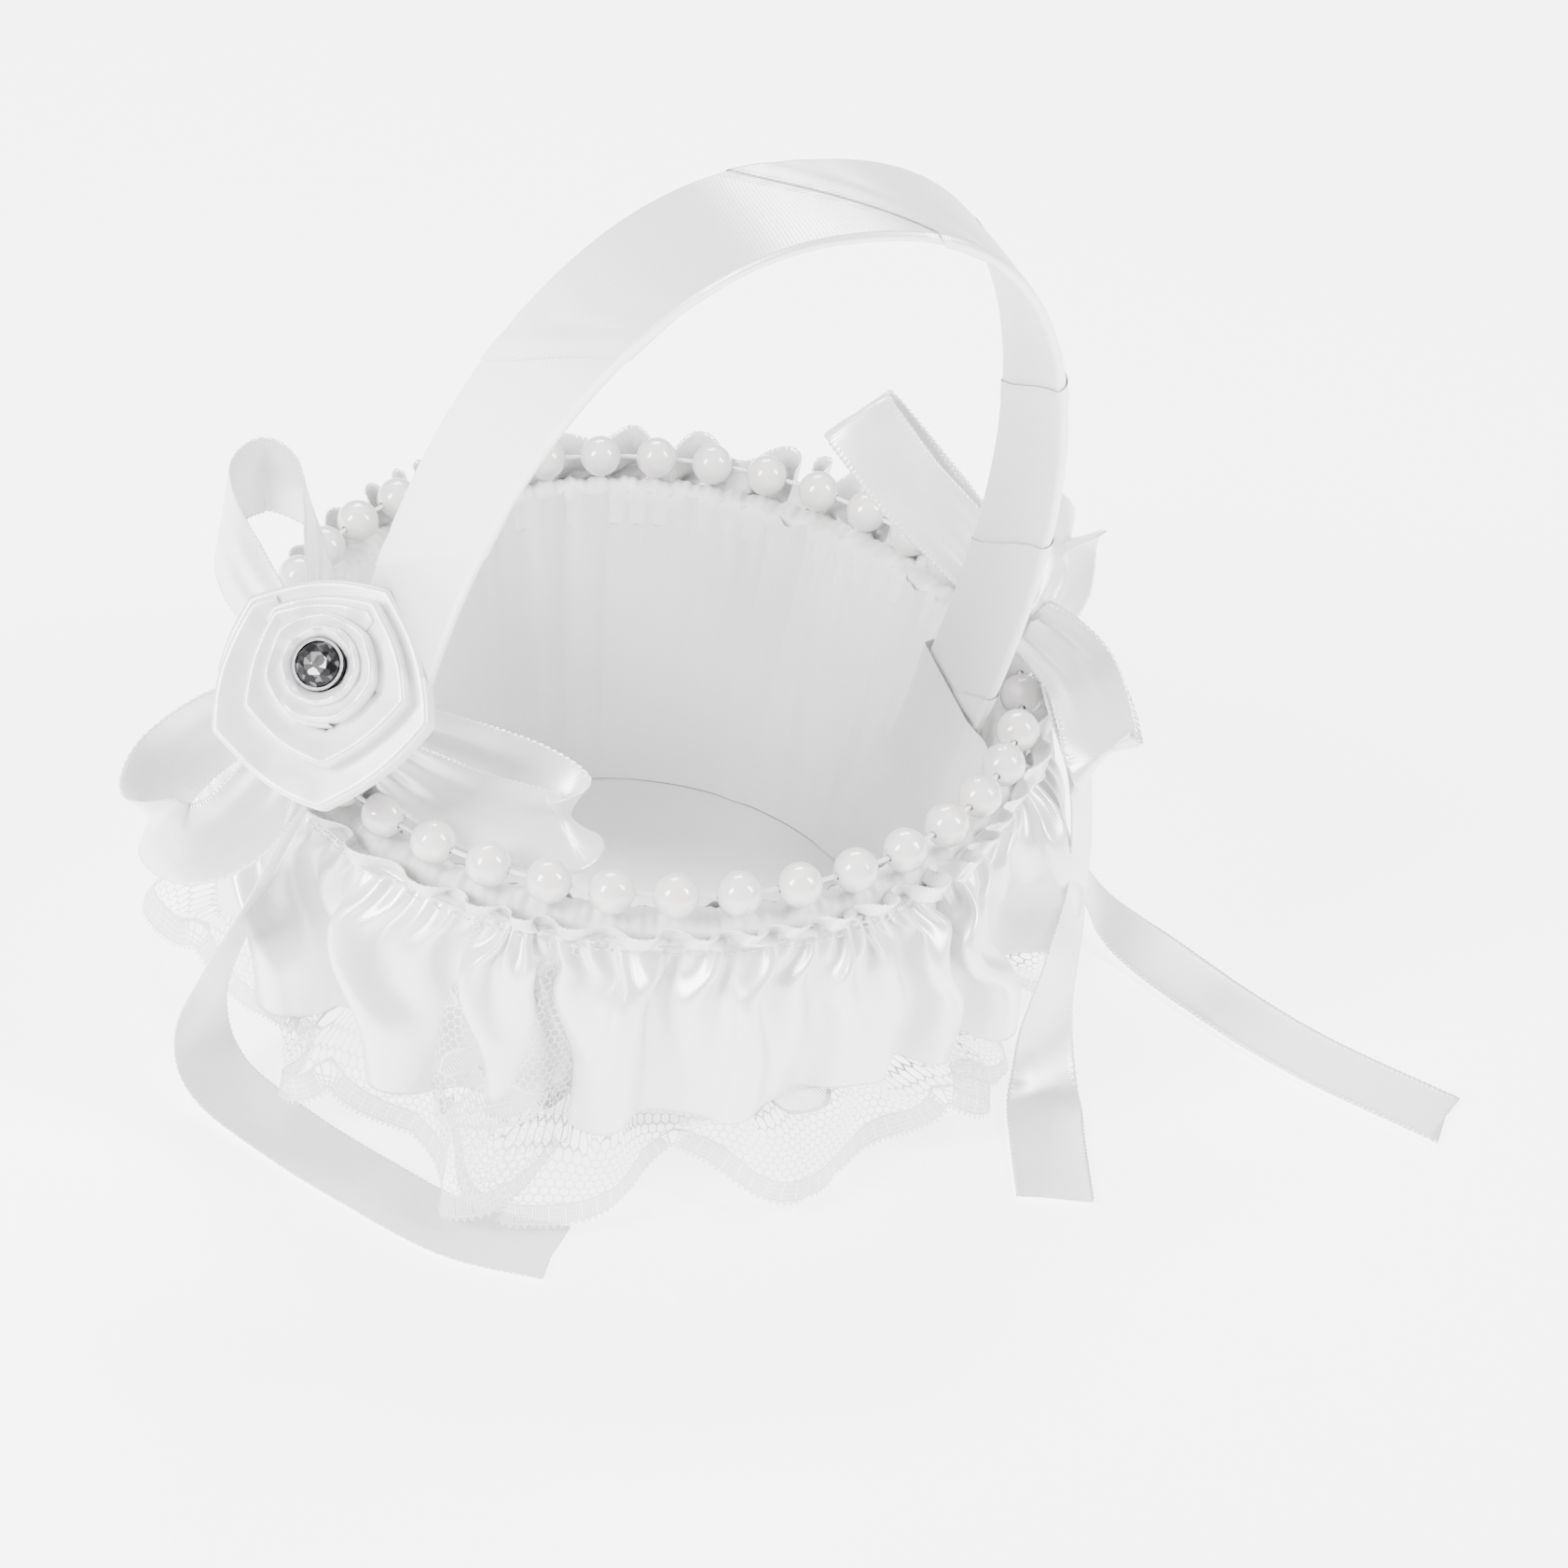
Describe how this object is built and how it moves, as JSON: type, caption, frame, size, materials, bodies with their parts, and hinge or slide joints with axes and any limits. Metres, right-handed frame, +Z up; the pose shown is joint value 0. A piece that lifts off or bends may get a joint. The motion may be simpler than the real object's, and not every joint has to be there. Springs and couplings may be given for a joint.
{
  "type": "flower girl basket",
  "caption": "Round satin basket with an arched ribbon-wound handle, pearl-edged rim, satin and lace skirts, ribbon bows and a rosette with a rhinestone.",
  "frame": {"origin": "centre of the underside of the tub, on the surface it stands on", "axes": "+Z up; +X along the handle's span, from the near bow with the rosette to the far bow; -Y is the side the handle leans to"},
  "size_m": [0.2584, 0.1756, 0.2206],
  "materials": {
    "board": "matt, hidden",
    "satin": "white satin, glossy weave",
    "lining_satin": "white satin, glossy weave",
    "ribbon_satin": "white double-faced satin ribbon",
    "tape_cloth": "plain white woven tape",
    "lace": "white nylon lace",
    "thread": "white polyester thread",
    "pearl": "pearl lustre coat",
    "hoop_plastic": "matt, hidden",
    "felt": "white felt",
    "cup_metal": "polished",
    "crystal": "clear, foiled back"
  },
  "bodies": {
    "root": {"tub_wall": "board", "tub_base": "board", "outer_cover": "satin", "wall_lining": "lining_satin", "floor_lining": "lining_satin", "rim_tape": "tape_cloth", "satin_ruffle": "satin", "gather_thread": "thread", "lace_ruffle": "lace", "pearl_thread": "thread", "rim_pearls": "pearl", "handle_core": "hoop_plastic", "handle_wrap": "ribbon_satin", "near_bow_upper_loop": "ribbon_satin", "near_bow_lower_loop": "ribbon_satin", "near_bow_inner_loop": "ribbon_satin", "near_bow_tail": "ribbon_satin", "near_bow_knot": "ribbon_satin", "rose_felt": "felt", "rose_petals": "ribbon_satin", "rose_heart": "ribbon_satin", "stone_cup": "cup_metal", "rhinestone": "crystal", "far_bow_upper_loop": "ribbon_satin", "far_bow_lower_loop": "ribbon_satin", "far_bow_back_loop": "ribbon_satin", "far_bow_right_tail": "ribbon_satin", "far_bow_front_tail": "ribbon_satin", "far_bow_knot": "ribbon_satin"}
  },
  "joints": []
}
